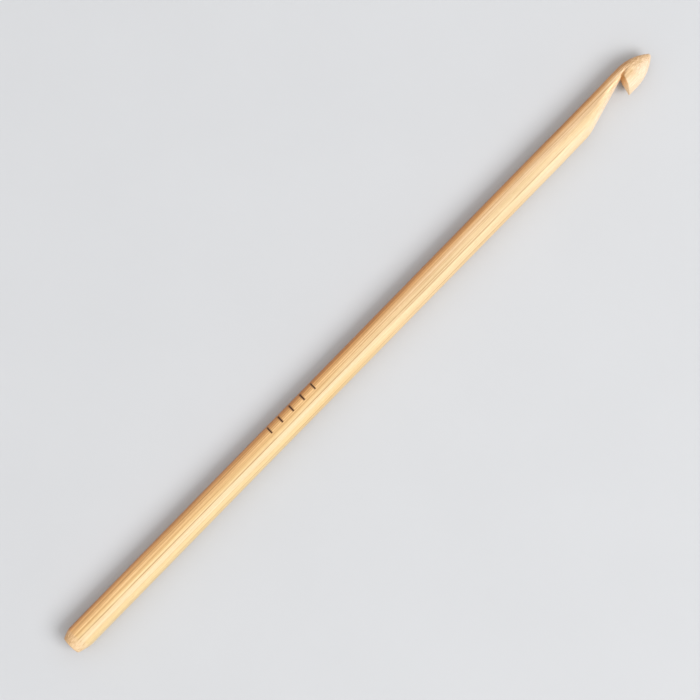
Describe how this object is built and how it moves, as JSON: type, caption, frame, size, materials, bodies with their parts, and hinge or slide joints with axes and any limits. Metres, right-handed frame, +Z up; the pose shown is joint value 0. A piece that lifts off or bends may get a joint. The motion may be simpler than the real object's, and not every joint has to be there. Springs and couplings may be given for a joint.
{
  "type": "crochet hook",
  "caption": "Straight one-piece bamboo crochet hook with an in-line pointed head, a leaning lip, a tapered neck cut from the full shaft and a bevelled butt.",
  "frame": {"origin": "middle of the hook's length, on the surface that it lies on", "axes": "+X from the butt to the tip, -Y the side that the lip points to, +Z up"},
  "size_m": [0.15, 0.005, 0.005],
  "materials": {
    "bamboo": "sanded smooth, thin clear satin coat",
    "size_mark": "dark brown burnt mark, under the same thin coat"
  },
  "bodies": {
    "root": {"hook_body": "bamboo", "size_bar_1": "size_mark", "size_bar_2": "size_mark", "size_bar_3": "size_mark", "size_bar_4": "size_mark", "size_bar_5": "size_mark"}
  },
  "joints": []
}
